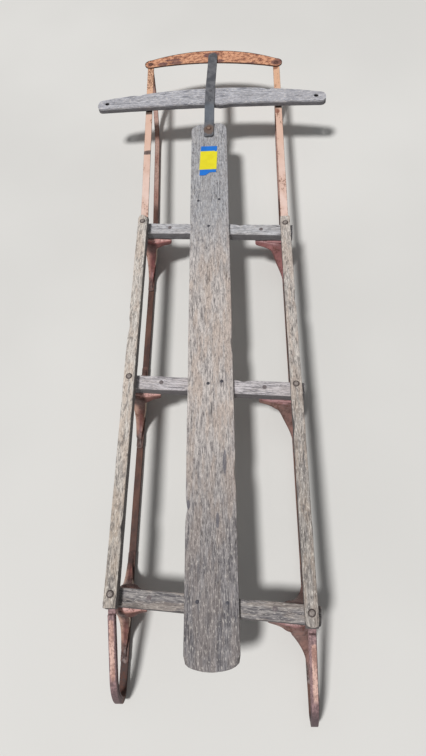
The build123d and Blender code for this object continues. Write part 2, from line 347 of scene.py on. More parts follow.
def both_ways(ends, between):
    """The columns of a long piece in order: those between, and the ends' on both sides."""
    return sorted({round(x, 3) for x in between} | {round(sense * x, 3) for x in ends for sense in (-1, 1)})


def bow(x, half, end, middle):
    """Where the arc through (-half, end), (0, middle) and (half, end) is at x. It bows forwards."""
    rise = middle - end
    radius = (half ** 2 + rise ** 2) / (2 * rise)
    return middle - radius + sqrt(radius ** 2 - x ** 2)


def shape_columns(piece, columns, width, rule):
    """Brings each column of a long piece, width wide, between rule(x): its rear and front edge."""
    edit(piece)
    for x in columns:
        rear, front = rule(x)
        pick(lambda p, n: abs(p.x - x) < 0.02)
        stretch((1, max(front - rear, 0.4) / width, 1), (x, 0, 0))
        push((0, (front + rear) / 2, 0))


# Finishes

def tint(red, green, blue):
    """A colour given as 0 to 255 a channel."""
    def linear(channel):
        share = channel / 255
        return share / 12.92 if share <= 0.04045 else ((share + 0.055) / 1.055) ** 2.4
    return (linear(red), linear(green), linear(blue), 1.0)


def maths(operation):
    """A method of Value that adds a Math node."""
    return lambda value, *others: value.finish.maths(operation, value, *others)


class Value:
    """A number that varies over the surface. Expressions on it add Math nodes."""

    __add__ = __radd__ = maths("ADD")
    __sub__ = maths("SUBTRACT")
    __mul__ = __rmul__ = maths("MULTIPLY")
    __truediv__ = maths("DIVIDE")
    __abs__ = maths("ABSOLUTE")
    root = maths("SQRT")
    largest = maths("MAXIMUM")

    def __init__(self, finish, socket):
        self.finish = finish
        self.socket = socket

    def __rsub__(self, other):
        return self.finish.maths("SUBTRACT", other, self)

    def rise(self, low, high):
        """0 below low, 1 above high, and smooth between them."""
        return Value(self.finish, self.finish.node(
            "ShaderNodeMapRange", {"interpolation_type": "SMOOTHSTEP"},
            {"Value": self, "From Min": low, "From Max": high}))

    def fall(self, low, high):
        return 1 - self.rise(low, high)


class Finish:
    """A material in the making."""

    def __init__(self, name):
        self.material = bpy.data.materials.new(name)
        self.material.use_nodes = True
        self.nodes = self.material.node_tree.nodes
        self.nodes.clear()
        self.colour = None
        self.place = self.node("ShaderNodeTexCoord", output="Object")
        self.x, self.y, self.z = (
            Value(self, self.node("ShaderNodeSeparateXYZ", inputs={0: self.place}, output=i))
            for i in range(3))

    def node(self, kind, settings=None, inputs=None, output=0):
        made = self.nodes.new(kind)
        for name, value in (settings or {}).items():
            setattr(made, name, value)
        for name, value in (inputs or {}).items():
            source = value.socket if isinstance(value, Value) else value
            if isinstance(source, bpy.types.NodeSocket):
                self.material.node_tree.links.new(source, made.inputs[name])
            else:
                made.inputs[name].default_value = source
        return made.outputs[output] if made.outputs else made

    def maths(self, operation, *terms):
        return Value(self, self.node("ShaderNodeMath", {"operation": operation}, dict(enumerate(terms))))

    def turned(self, angle):
        """The place turned about the upright, so that the grain runs along its y."""
        turn = (0, 0, radians(angle))
        return self.node("ShaderNodeMapping", inputs={"Vector": self.place, "Rotation": turn})

    def noise(self, scale, detail=3.0, roughness=0.55, seed=0.0, at=None):
        """A cloud pattern with that many features a metre, the same or one number for each axis."""
        scale = scale if isinstance(scale, tuple) else (scale, scale, scale)
        spread = self.node("ShaderNodeMapping", inputs={
            "Vector": at or self.place, "Scale": scale, "Location": (seed * 7.3, seed * 3.1, seed * 5.7)})
        return Value(self, self.node("ShaderNodeTexNoise", inputs={
            "Vector": spread, "Scale": 1.0, "Detail": detail, "Roughness": roughness}))

    def carried(self, name):
        """The number that mark() left on the piece."""
        return Value(self, self.node("ShaderNodeAttribute", {"attribute_name": name}, output="Fac"))

    def mix(self, share, first, second):
        """From first, where share is 0, to second, where it is 1. Three numbers are a tint."""
        first, second = (tint(*side) if isinstance(side, tuple) else side for side in (first, second))
        return self.node("ShaderNodeMix", {"data_type": "RGBA"}, {0: share, 6: first, 7: second}, output=2)

    def lay(self, share, paint):
        """Lays a paint over the colour so far."""
        self.colour = self.mix(share, self.colour, paint)

    def spot(self, x, y, reach_x, reach_y, ragged=0.35):
        """1 inside a ragged oval about a place in millimetres, 0 outside."""
        across = (self.x - x * MM) / (reach_x * MM)
        along = (self.y - y * MM) / (reach_y * MM)
        away = (across * across + along * along).root()
        wander = self.noise(140, seed=x % 7) * 2 - 1
        return (away + wander * ragged).fall(0.75, 1.1)

    def spots(self, *ovals):
        """1 inside any of the ovals, each given as spot() takes it."""
        found = self.spot(*ovals[0])
        for oval in ovals[1:]:
            found = found.largest(self.spot(*oval))
        return found

    def done(self, roughness, height=None, depth=0.0, metallic=0.0):
        """The material, with a relief after height, at most depth metres deep."""
        inputs = {"Base Color": self.colour, "Roughness": roughness, "Metallic": metallic}
        if height:
            inputs["Normal"] = self.node("ShaderNodeBump", inputs={"Height": height, "Distance": depth})
        shader = self.node("ShaderNodeBsdfPrincipled", inputs=inputs)
        self.node("ShaderNodeOutputMaterial", inputs={"Surface": shader})
        return self.material


def worn_wood(name, turn, zones, seed, mottle, dashes=0.4, under=None, stains=(), painted_shade_bores=()):
    """Bare weathered wood, with short fibres and streaks along the grain.

    Each zone is (pale, middle, dark, warm, share of warm, y where it is full, y where it ends) and lies
    over the one before it. The first has no y. Below the heights in under the wood is darker: painted
    shade on the side faces. At the holes given, the wood is darker too: painted shade on their walls."""
    finish = Finish(name)
    grain = finish.turned(turn)
    fibre = finish.noise((1100, 75, 900), 3.0, 0.6, seed, grain)
    streak = finish.noise((360, 32, 330), 6.0, 0.72, seed + 1, grain)
    broad = finish.noise((75, 12, 60), 4.0, 0.6, seed + 2, grain)
    dash = finish.noise((460, 130, 440), 3.0, 0.6, seed + 3, grain)
    crack = abs(finish.noise((120, 5.5, 120), 2.0, 0.5, seed + 4, grain) - 0.5).fall(0.003, 0.012)
    crack = crack * finish.noise((60, 12, 60), 2.0, 0.5, seed + 5, grain).rise(0.54, 0.68)
    for pale, middle, dark, warm, share, *limits in zones:
        here = finish.mix(streak.rise(0.42, 0.60), middle, pale)
        here = finish.mix(broad.rise(0.44, 0.60) * share, here, warm)
        here = finish.mix(fibre.fall(0.36, 0.52) * 0.5, here, dark)
        here = finish.mix((streak * 0.7 + broad * 0.3).fall(0.36, 0.47) * 0.75, here, dark)
        finish.colour = finish.mix(finish.y.fall(*limits), finish.colour, here) if limits else here
    finish.lay(dash.rise(0.56, 0.65) * dashes, (232, 224, 214))
    finish.lay(dash.fall(0.33, 0.41) * 0.6, (66, 61, 62))
    finish.lay(crack * 0.7, (54, 49, 48))
    patch = finish.noise((230, 60, 230), 3.0, 0.65, seed + 6, grain).fall(0.34, 0.47)
    finish.lay(patch * mottle, (92, 87, 86))
    for x, y, reach_x, reach_y in stains:
        finish.lay(finish.spot(x, y, reach_x, reach_y) * 0.7, (84, 85, 96))
    # Painted shade: the side faces below the heights in under are darkened
    if under:
        finish.lay(finish.z.fall(*under) * 0.8, (76, 73, 76))
    # Painted shade on the walls of each hole
    for x, y in painted_shade_bores:
        painted_bore_shade = finish.spot(x, y, 7.8, 7.8, 0.04) * finish.z.fall(0.1492, 0.1512)
        finish.lay(painted_bore_shade, (34, 32, 34))
    height = fibre * 0.4 + streak * 0.6 - crack * 1.2
    return finish.done(fibre * 0.2 + 0.72, height, 0.0006)


deck_wood = worn_wood("deck_wood", -DECK_LEAN, (
    ((184, 184, 187), (154, 153, 156), (108, 106, 111), (164, 158, 154), 0.3),
    ((214, 205, 199), (174, 166, 162), (102, 97, 99), (194, 172, 156), 0.5, 0.0, 0.24),
    ((152, 147, 147), (105, 102, 105), (66, 63, 67), (154, 140, 130), 0.3, -0.68, -0.26)),
    1.0, mottle=0.45, stains=((36.7, -412, 4, 26), (-29, -491, 4, 9), (24, -520, 3, 16)))
RAIL_LOOKS = {
    "left": (2.0, (
        ((226, 218, 209), (194, 186, 178), (104, 96, 91), (204, 182, 164), 0.5),
        ((206, 196, 184), (168, 159, 151), (84, 77, 74), (186, 164, 142), 0.5, -0.65, -0.25))),
    "right": (2.5, (
        ((212, 204, 196), (178, 170, 164), (98, 92, 88), (194, 172, 156), 0.5),
        ((188, 180, 172), (142, 136, 132), (74, 70, 70), (168, 150, 134), 0.5, -0.55, -0.10)))}
# Painted shade on the rails' sides, below the heights in under
rail_wood = {side: worn_wood(f"rail_wood_{side}", 0.0, zones, seed, mottle=0.65, dashes=0.6,
                             under=(0.1486, 0.1506)) for side, (seed, zones) in RAIL_LOOKS.items()}
# Painted shade on the benches' sides, below the heights in under
bench_wood = worn_wood("bench_wood", 90 - RACKING, (
    ((208, 207, 210), (172, 171, 174), (108, 106, 110), (172, 165, 161), 0.3),
    ((216, 210, 212), (174, 168, 170), (95, 91, 95), (184, 171, 165), 0.3, -0.15, 0.0),
    ((166, 160, 157), (118, 114, 116), (68, 65, 69), (164, 147, 132), 0.4, -0.6, -0.5)),
    3.0, mottle=0.3, under=(0.1255, 0.1275))
# Painted shade on the bar's faces below the heights in under, and on the walls of its two cord holes
bar_wood = worn_wood("bar_wood", 90 - BAR_TURN, (
    ((210, 209, 214), (160, 160, 167), (94, 94, 103), (174, 171, 175), 0.4),),
    4.0, mottle=0.3, dashes=0.6, under=(0.1460, 0.1500), painted_shade_bores=((-278.3, 610.2), (278.6, 582.0)))


def strip_finish():
    """Salmon paint with rust at the edges, worn to dark steel where the bar rubs, with painted shadow of
    the bar over that band and painted shade by the left rail's front end.
    """
    finish = Finish("strip_paint")
    edge = finish.carried("edge")
    blotch = finish.noise((45, 22, 45), 3.0, 0.6, 1.0)
    fine = finish.noise((320, 190, 320), 4.0, 0.65, 2.0)
    rust = (edge * 0.75 + fine * 0.55 + blotch * 0.3).rise(0.98, 1.14)
    speckle = (fine * 0.55 + blotch * 0.6).rise(0.64, 0.71)
    right = finish.x.rise(0.0, 0.01)
    left_spots = finish.x.fall(-0.05, 0.0) * finish.y.rise(0.66, 0.70)
    speckle = speckle.largest((fine * 0.8 + left_spots * 0.27).rise(0.64, 0.71) * left_spots)
    speckle = speckle.largest(left_spots * edge * finish.x.rise(-0.152, -0.148) * 0.6)
    speckle = speckle.largest(right * edge * fine.rise(0.42, 0.56) * 0.8)
    finish.colour = finish.mix(blotch.rise(0.35, 0.65), (234, 206, 194), (218, 184, 168))
    finish.lay(finish.y.rise(0.26, 0.50) * 0.75, (224, 184, 162))
    finish.lay(finish.y.rise(0.58, 0.68) * 0.7, (226, 176, 138))
    finish.lay(rust.largest(speckle * 0.8), (112, 66, 46))
    # Bare steel where the bar rubs, and also a painted shadow of the bar over the same band
    rubbed_and_shadowed = finish.y.rise(0.580, 0.585) * finish.y.fall(0.620, 0.650) * (1 - right)
    rubbed_and_shadowed = rubbed_and_shadowed.largest(finish.y.rise(0.566, 0.572) * finish.y.fall(0.610, 0.640) * right)
    finish.lay(rubbed_and_shadowed * (fine * 0.3 + 0.75), (52, 40, 34))
    # Painted shade on the strip beside the left rail's front end
    rail_end_shade = finish.spot(-157.6, 434, 20, 8.5, 0.2) * (fine * 0.5 + 0.6)
    finish.lay(rail_end_shade, (66, 58, 60))
    patch = finish.spots((175.7, 559, 8, 9), (177, 742, 10, 11))
    finish.lay(patch * 0.75, (132, 80, 62))
    roughness = 0.42 + rust.largest(rubbed_and_shadowed) * 0.4
    return finish.done(roughness, fine * 0.3 - rust, 0.0003)


def bumper_finish():
    """Orange paint gone to purplish rust in patches, and dark along the rim."""
    finish = Finish("bumper_paint")
    rim = finish.carried("edge")
    blotch = finish.noise((90, 110, 90), 4.0, 0.62, 3.0)
    fine = finish.noise((430, 540, 400), 4.0, 0.72, 4.0)
    finish.colour = finish.mix(blotch.rise(0.35, 0.62), (230, 172, 136), (206, 142, 110))
    fleck = (fine * 0.75 + blotch * 0.45).rise(0.615, 0.675)
    finish.lay(fleck * 0.85, (108, 66, 56))
    patches = finish.spots((-138, 792, 15, 9), (-99, 793, 19, 8), (-110, 806, 26, 5), (20, 786, 20, 7),
                           (104, 764, 20, 5), (183, 760, 17, 13, 0.2), (2, 816, 26, 13), (-174, 795, 8, 8))
    finish.lay(patches * (fine * 0.5 + 0.55), (94, 64, 68))
    worn_rim = (rim + fine * 0.35).rise(0.50, 0.82)
    finish.lay(worn_rim * 0.92, (70, 48, 42))
    rust = fleck.largest(patches).largest(worn_rim)
    return finish.done(0.5 + rust * 0.35, fine * 0.4 - rust, 0.0004)


def strap_finish():
    """Dark grey steel, dull and pitted, with a painted blue sheen behind the bar, and brown at the deck
    bolt.
    """
    finish = Finish("strap_steel")
    fine = finish.noise((420, 300, 420), 4.0, 0.65, 5.0)
    blotch = finish.noise((70, 45, 70), 3.0, 0.6, 6.0)
    edge = finish.carried("edge")
    finish.colour = finish.mix(blotch.rise(0.35, 0.65), (88, 89, 94), (118, 118, 122))
    # Painted reflection: where the strap slopes behind the bar it shows a lighter, bluer sheen
    blue = finish.y.rise(0.505, 0.53) * finish.y.fall(0.56, 0.59)
    finish.lay(blue * 0.6, (100, 108, 118))
    finish.lay(finish.spot(-2.4, 492, 15, 19, 0.5) * 0.7, (118, 94, 78))
    finish.lay((fine * 0.6 + edge * 0.35).rise(0.58, 0.72) * 0.6, (54, 49, 50))
    return finish.done(0.5 + fine * 0.25, fine, 0.0003, 0.2)


def knee_finish():
    """Old red paint, brown along the foot. Painted highlights: pink on the arm's fold, pale at the left
    legs' free edge, tan along the left webs' corner. Painted shade high in the left knees' hollow.
    """
    finish = Finish("knee_red")
    fold = finish.carried("fold")
    edge = finish.carried("edge")
    corner = finish.carried("corner")
    blotch = finish.noise(75, 4.0, 0.6, 7.0)
    fine = finish.noise(360, 4.0, 0.7, 8.0)
    left = finish.x.fall(-0.05, 0.0)
    right = 1 - left
    low = finish.z.fall(0.050, 0.070)
    rear = finish.y.fall(-0.45, -0.40)
    finish.colour = finish.mix(blotch.rise(0.34, 0.64), (152, 108, 97), (112, 79, 72))
    finish.lay(right * 0.35, (122, 104, 100))
    front = finish.y.rise(0.05, 0.10) * (0.35 + fine.rise(0.45, 0.58) * 0.3)
    finish.lay(front, (170, 100, 105))
    finish.lay(corner * right * 0.5, (92, 68, 70))
    # Painted highlight: tan along the left webs' corner, low down
    finish.lay(corner * left * finish.z.fall(0.070, 0.090) * 0.7, (188, 152, 134))
    finish.lay(fold * left * low * 0.75, (88, 38, 40))
    spots = (fine * 0.65 + blotch * 0.55).rise(0.63, 0.70)
    finish.lay(spots * 0.75, (96, 60, 46))
    shaded = left * finish.z.rise(0.062, 0.080) * finish.z.fall(0.098, 0.1005)
    finish.lay(shaded * 0.8, (88, 58, 54))
    # Painted highlight: a pale line along the left legs' free edge
    leg = finish.z.rise(0.030, 0.045) * finish.z.fall(0.088, 0.094)
    free_edge_highlight = (edge * leg + fine * 0.35).rise(1.0, 1.14)
    finish.lay(free_edge_highlight * left * 0.8, (196, 176, 156))
    finish.lay((edge + fine * 0.35).rise(0.9, 1.12) * right * 0.6, (92, 62, 56))
    # Painted highlight: pink along the arm's top, paler on the left knees, broken up by noise and weaker at
    # the rear
    arm_top_highlight = (finish.z + fine * 0.004).rise(0.1030, 0.1046)
    pink = finish.mix(left, (166, 122, 122), (216, 168, 160))
    highlight_share = 0.9 - (fine * 0.6 + blotch * 0.5).rise(0.50, 0.66) * (0.45 + rear * 0.25) - rear * 0.15
    finish.lay(arm_top_highlight * highlight_share, pink)
    foot = finish.mix(blotch.rise(0.40, 0.60), (104, 76, 68), (70, 52, 48))
    finish.lay(finish.z.fall(0.0165, 0.023) * 0.95, foot)
    return finish.done(0.5 + spots * 0.3, fine * 0.4 - spots * 0.6, 0.0004)


def runner_finish():
    """Brown steel along the ground, with salmon paint left on the loops and the rising noses."""
    finish = Finish("runner_steel")
    wing = finish.carried("wing")
    blotch = finish.noise((34, 14, 34), 4.0, 0.6, 9.0)
    fine = finish.noise((300, 180, 300), 4.0, 0.7, 10.0)
    right = finish.x.rise(0.0, 0.01)
    finish.colour = finish.mix(blotch.rise(0.36, 0.64), (104, 72, 60), (68, 49, 45))
    salmon = finish.mix(blotch.rise(0.38, 0.66), (220, 184, 170), (188, 145, 131))
    nose = finish.y.rise(0.25, 0.40) * 0.6
    ground = finish.z.fall(0.012, 0.020) * finish.y.fall(0.25, 0.35) * 0.34
    share = nose.largest(ground) * (1 - wing * 0.75)
    finish.lay((share + fine * 0.35 + blotch * 0.25).rise(0.74, 1.02), salmon)
    finish.lay((fine * 0.7 + blotch * 0.4).rise(0.58, 0.68) * 0.75, (92, 54, 40))
    mauve = finish.mix(fine.rise(0.40, 0.60), (164, 132, 132), (116, 92, 92))
    loop = finish.y.fall(-0.64, -0.62) * finish.z.rise(0.024, 0.040)
    finish.lay(loop * (1 - wing * 0.45), mauve)
    behind = (finish.y + right * 0.036 + fine * 0.016).fall(-0.680, -0.664) * finish.z.rise(0.070, 0.096)
    one_side = 1 - right * finish.x.fall(0.1716, 0.1736)
    from_middle = abs(finish.x + 0.1538 - right * 0.3312)
    core = (from_middle + fine * 0.004).fall(0.0050, 0.0072)
    kept = (behind * one_side * core + fine * 0.3 + blotch * 0.2).rise(0.80, 1.10)
    finish.lay(kept, salmon)
    finish.lay((fine * 0.75 + blotch * 0.35).rise(0.50, 0.62) * kept * 0.6, (128, 96, 88))
    finish.lay(loop * finish.z.fall(0.062, 0.092) * (0.7 + right * 0.2), (84, 70, 73))
    bright = finish.z.fall(0.0005, 0.0025)
    finish.lay(bright * 0.6, (140, 132, 128))
    return finish.done(0.55 + fine * 0.25, fine, 0.0004, 0.1)


def fastener_finish(name, base, rust, crown=None, rim=None):
    """Pitted steel. Between the heights in crown it goes from a dark rim to the plain head."""
    finish = Finish(name)
    fine = finish.noise(700, 3.0, 0.65, 11.0)
    finish.colour = finish.mix(fine.rise(0.38, 0.62), base, rust)
    if crown:
        finish.lay(finish.z.fall(*crown) * 0.9, rim)
    return finish.done(0.55 + fine * 0.25, fine, 0.0003, 0.2)


def paper_finish(name, colour, shade, roughness):
    """Flat coloured paper with faint fibres and creases."""
    finish = Finish(name)
    fibre = finish.noise(900, 3.0, 0.6, 12.0)
    crease = finish.noise(60, 2.0, 0.5, 13.0)
    finish.colour = finish.mix(fibre.rise(0.35, 0.65) * 0.3 + crease.rise(0.45, 0.6) * 0.25, colour, shade)
    return finish.done(roughness, crease * 0.8 + fibre * 0.2, 0.0006)


strip_paint = strip_finish()
bumper_paint = bumper_finish()
strap_steel = strap_finish()
knee_red = knee_finish()
runner_steel = runner_finish()
bolt_steel = fastener_finish("bolt_steel", (165, 156, 150), (120, 108, 102), (0.1536, 0.1544),
                             (76, 66, 63))
deck_bolt_steel = fastener_finish("deck_bolt_steel", (164, 138, 120), (112, 86, 72),
                                  (0.1461, 0.1470), (84, 58, 48))
bar_bolt_steel = fastener_finish("bar_bolt_steel", (104, 104, 108), (80, 78, 80))
nail_steel = fastener_finish("nail_steel", (132, 122, 121), (98, 90, 92))
dark_rivet = fastener_finish("dark_rivet", (84, 84, 92), (58, 56, 60))
rusty_rivet = fastener_finish("rusty_rivet", (120, 82, 70), (78, 52, 46))
tag_paper = paper_finish("tag_paper", (238, 225, 38), (216, 199, 28), 0.6)
blue_tape = paper_finish("blue_tape", (30, 120, 214), (22, 98, 184), 0.55)


# Boards

def make_deck():
    """The centre board: rounded corners ahead, a bowed rear end, and two short splits."""
    length, width, thick, middle, rear_bow = 1266.0, 91.0, 10.0, 132.0, 11
    front, rear = middle + length / 2, middle - length / 2
    deck = block("centre_board", (width, length, thick), (0, middle, thick / 2))
    edit(deck, "EDGE")
    pick(lambda p, d: p.y > front - 1 and abs(d.z) > thick / 2, "EDGE")
    bpy.ops.mesh.bevel(offset=24, segments=7, affect="EDGES")
    columns = even(-width / 2, width / 2, 12)
    slice_at(deck, 0, columns)
    for x in columns:
        pick(lambda p, n: abs(p.x - x) < 0.02 and p.y < rear + 1)
        push((0, -rear_bow * (1 - (2 * x / width) ** 2), 0))
    ease_edges(deck, 1.3)
    slice_at(deck, 1, even(rear, front, 96))
    for x, low, high, depth in ((13.1, -400, -350, 1.4), (-20.7, 60, 110, 1.2)):
        slice_at(deck, 0, (x - 0.9, x, x + 0.9))
        pick(lambda p, n: abs(p.x - x) < 0.05 and low < p.y < high and p.z > thick / 2)
        push((0, 0, -depth))
    roughen(deck, 1.1, 9.0, 9.0, seed=1.0)
    roughen(deck, 1.6, 60.0, 5.0, seed=2.0, direction="Z")
    chip(deck, (((45, -495, 8), (-5, 6, -2), 14), ((-44, -497, 9), (6, 5, -2), 12),
                ((45, 96, 9), (-3, 0, -2), 26), ((-45, -250, 9), (3.5, 0, -1), 22),
                ((45, -180, 9), (-2.5, 0, -2), 30), ((-45, 410, 9), (2, 0, -1.5), 26)))
    smooth(deck)
    settle(deck, (SLED_MIDDLE.x - 2.9, SLED_MIDDLE.y, BENCH_TOP), DECK_LEAN)
    fit(deck, "root", deck_wood, "deck_wood", "deck_board")


def make_rail(side, chips, seed):
    """A side rail, notched underneath at both ends for the steel that is bolted there."""
    width, length, height, notch, notch_length = 22.0, 867.0, 23.0, 3.3, 34.25
    end = length / 2
    rail = block(f"side_rail_{side}", (width, length, height - notch), (0, 0, (height + notch) / 2))
    slice_at(rail, 1, (notch_length - end, end - notch_length))
    pick(lambda p, n: n.z < -0.9 and abs(p.y) < end - notch_length, "FACE")
    extrude((0, 0, -notch))
    ease_edges(rail, 2.2, 3)
    slice_at(rail, 1, even(-end, end, 72))
    slice_at(rail, 0, even(-width / 2, width / 2, 5))
    slice_at(rail, 2, even(notch, height, 5))
    roughen(rail, 1.3, 8.0, 8.0, seed=seed)
    chip(rail, chips)
    smooth(rail)
    at = (BOLTS[side, "front"] + BOLTS[side, "rear"]) / 2
    settle(rail, (at.x, at.y, BENCH_TOP))
    fit(rail, "root", rail_wood[side], "rail_wood", f"rail_{side}")


def make_bench(row, seed):
    """A cross bench, chipped at both ends and along its edges."""
    length, depth, height = 365.5, 30.0, 22.0
    bench = block(f"cross_bench_{row}", (length, depth, height), (0, 0, height / 2))
    ease_edges(bench, 1.8, 3)
    slice_at(bench, 0, even(-length / 2, length / 2, 36))
    slice_at(bench, 1, even(-depth / 2, depth / 2, 5))
    slice_at(bench, 2, even(0, height, 4))
    roughen(bench, 1.2, 8.0, 7.0, axis=0, seed=seed)
    chip(bench, (((-182, 14, 21), (4, -3, -3), 9), ((182, -14, 21), (-5, 3, -3), 10),
                 ((60, 15, 21), (0, -2, -2), 14), ((-90 + seed * 5, -15, 21), (0, 2, -2), 16)))
    smooth(bench)
    at = (BOLTS["left", row] + BOLTS["right", row]) / 2
    settle(bench, (at.x, at.y, BENCH_BOTTOM), RACKING)
    fit(bench, "root", bench_wood, "bench_wood", f"bench_{row}")


def make_handlebar():
    """The bowed wooden bar, narrow at its ends, with a cord hole in each and a bulge behind."""
    half, thick, corner, cord_inset = 304.0, 15.0, 14.0, 25.2
    bulge_from, bulge_to, bulge = 12, 48, 4.5
    ends = [half - corner * (1 - sin(pi / 2 * i / 6)) for i in range(7)]
    columns = both_ways(ends, [x for x in even(-half, half, 44) if abs(x) < half - corner])
    bar = block("steering_handlebar", (2 * half, 2, thick), (0, 0, thick / 2))
    slice_at(bar, 0, columns[1:-1])
    slice_at(bar, 1, even(-1, 1, 6))

    def edges(x):
        front = bow(x, half, 12, 47)
        rear = bow(x, half, -20, -13)
        if bulge_from < x < bulge_to:
            rear -= bulge * sin(pi * (x - bulge_from) / (bulge_to - bulge_from))
        inset = max(0.0, corner - (half - abs(x)))
        drawn_in = corner - sqrt(max(corner ** 2 - inset ** 2, 0.0))
        return rear + drawn_in, front - drawn_in

    shape_columns(bar, columns, 2.0, edges)
    ease_edges(bar, 3.5, 3, 50)
    roughen(bar, 1.6, 9.0, 7.0, axis=0, seed=5.0)
    for sense in (-1, 1):
        drill = pin("cord_drill", 24, 6, 40, (sense * (half - cord_inset), 0, -12))
        modify(bar, "BOOLEAN", operation="DIFFERENCE", object=drill, solver="EXACT")
        bpy.data.objects.remove(drill)
    chip(bar, (((150, 44, 15), (0, -2, -2), 16), ((-190, 36, 15), (0, -2, -2.5), 18),
               ((-60, -14, 15), (0, 2, -2), 16)))
    smooth(bar, 45)
    at_bar = node_middle("handlebar_bolt_rear")
    settle(bar, (at_bar.x, SLED_MIDDLE.y + 842.3, BAR_BOTTOM), BAR_TURN)
    fit(bar, "steering", bar_wood, "bar_wood", "handlebar")


make_deck()
make_rail("left", (((11, -300, 22), (-3, 0, -2), 20), ((-11, 120, 22), (2.5, 0, -2), 26),
                   ((11, 428, 22), (-3, -5, -3), 12), ((-11, 433, 22), (2, -3, -1), 8)), 3.0)
make_rail("right", (((-11, -433, 22), (1.5, 3, -1), 9), ((11, -430, 20), (-1.5, 3, -1.5), 9),
                    ((11, 200, 22), (-2.5, 0, -2), 26), ((-11, -90, 22), (2.5, 0, -1.5), 30)), 4.0)
for row, seed in zip(ROWS, (6.0, 7.0, 8.0)):
    make_bench(row, seed)
make_handlebar()


# Steel

def make_runner(side):
    """One T-section bar: the tang under the rail's end, the loop, the ground run and the risen nose."""
    rib_wide, rib_high, flange_wide, flange_thick = 11.0, 8.0, 13.4, 3.0
    rear, front = BOLTS[side, "rear"], BOLTS[side, "front"]
    high = BENCH_TOP + flange_thick / 2
    tang, overhang = 12.0, 21.5
    loop_reach, loop_height = 152.0, 62.0
    top_bend, back_bend, low_bend, plan_bend, nose_bend, knuckle_bend = 25.0, 58.0, 16.0, 260.0, 232.0, 13.0
    nose_slope, nose_from, blend_from, knuckle_back, toe_plate, worn_rib = 58.0, 98.0, 95.0, 10.0, 19.0, 0.4
    bar = plate(f"runner_bar_{side}", rib_wide, rib_high + flange_thick,
                (0, tang, BENCH_TOP + (rib_high + flange_thick) / 2), upright=True)
    slice_at(bar, 2, (BENCH_TOP + flange_thick,))
    for sense in (-1, 1):
        pick(lambda p, d: sense * p.x > rib_wide / 2 - 0.1 and p.z < BENCH_TOP + flange_thick, "EDGE")
        extrude((sense * (flange_wide - rib_wide) / 2, 0, 0))
    mark(bar, "wing", lambda p: float(abs(p.x) > rib_wide / 2 + 0.5))
    steep = degrees(atan2(high - loop_height, loop_reach - overhang))
    run = Run(bar, (0, tang, high), (0, -1, 0))
    right = (1, 0, 0)
    back_angle = 90 - steep
    top_tangent, back_tangent = tangent(top_bend, steep), tangent(back_bend, back_angle)
    run.straight(tang + overhang - top_tangent)
    run.bend(top_bend, steep, right, 4)
    run.straight(hypot(high - loop_height, loop_reach - overhang) - top_tangent - back_tangent, 4)
    run.bend(back_bend, back_angle, right, 9)
    run.straight(loop_height - GROUND_FLANGE - back_tangent - low_bend)
    run.bend(low_bend, 90, right, 8)
    rivet = RIVETS[side] - rear
    nose_start = Vector((0, front.y - rear.y + nose_from, 0))
    reach, veer = way(nose_start, rivet)
    plan_tangent = tangent(plan_bend, abs(veer))
    run.straight(nose_start.y - run.place.y - plan_tangent, 26)
    run.bend(plan_bend, veer, (0, 0, 1), 3)
    level = STRIP_BOTTOM - flange_thick / 2
    knuckle = reach - knuckle_back
    toe = knuckle - (level - GROUND_FLANGE) / tan(radians(nose_slope))
    toe_tangent, knuckle_tangent = tangent(nose_bend, nose_slope), tangent(knuckle_bend, nose_slope)
    run.straight(toe - toe_tangent - plan_tangent, 14)
    across = run.ahead.cross(Vector((0, 0, 1))).normalized()
    run.bend(nose_bend, nose_slope, across, 16)
    run.straight((level - GROUND_FLANGE) / sin(radians(nose_slope)) - toe_tangent - knuckle_tangent)
    run.bend(knuckle_bend, -nose_slope, across, 6)
    run.straight(toe_plate - knuckle_tangent)
    tip = run.place.y
    mend(bar)
    pick(lambda p, n: -30 < p.y < tang + 1 and p.z > high + 3)
    push((0, 0, worn_rib - rib_high))
    pick(lambda p, n: p.y > tip - toe_plate and level - 14 < p.z < level - 4)
    push((0, 0, rib_high - worn_rib))
    ease_edges(bar, 0.7)
    roughen(bar, 0.5, 14.0, 3.0, seed=9.0)
    smooth(bar)
    settle(bar, (rear.x, rear.y, 0))
    bar.data.materials.append(runner_steel)
    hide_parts(f"runner_{side}", f"runner_nose_{side}")
    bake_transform(bar)


# The width at a flat bar's very tip, as a share of the ring next to it
TIP_SHARE = 0.45


def flat_bar(name, width, thick, start, opening, moves, closing):
    """A flat bar that sets out ahead from start. The opening and closing rings shape its ends."""
    first = opening[0][1] * TIP_SHARE
    bar = plate(name, width * first, thick, start, upright=True)
    run = Run(bar, start, (0, 1, 0))
    share = run.rings(opening, first)
    for kind, *values in moves:
        getattr(run, kind)(*values)
    run.rings(closing, share)
    mend(bar)
    return bar


def wear_bar(bar, width, inset, ease, depth, size, seed):
    """Marks a flat bar's long edges for the rust, eases them and roughens the faces."""
    slice_at(bar, 0, (inset - width / 2, 0, width / 2 - inset))
    mark(bar, "edge", lambda p: float(abs(p.x) > width / 2 - 0.4))
    ease_edges(bar, ease)
    roughen(bar, depth, size, 3.0, seed=seed)
    smooth(bar)


def make_strip(side):
    """The flat strip from the rail's front bolt to the bumper's rivet, round at both ends."""
    bolt, rivet = BOLTS[side, "front"], RIVETS[side]
    width, thick = 17.5, 3.0
    length, turn = way(bolt, rivet)
    closing = round_end(width / 2, sin(pi / 10) * TIP_SHARE)
    steps, shares = zip(*reversed(closing))
    opening = list(zip(steps, shares[1:] + (1.0,)))
    bar = flat_bar(f"front_strip_bar_{side}", width, thick, (0, -width / 2, STRIP_BOTTOM + thick / 2),
                   opening, (("straight", length, 44),), closing)
    wear_bar(bar, width, 1.6, 0.7, 0.35, 16.0, 10.0)
    settle(bar, (bolt.x, bolt.y, 0), turn)
    fit(bar, f"front_{side}", strip_paint, "strip_paint", f"front_strip_{side}")


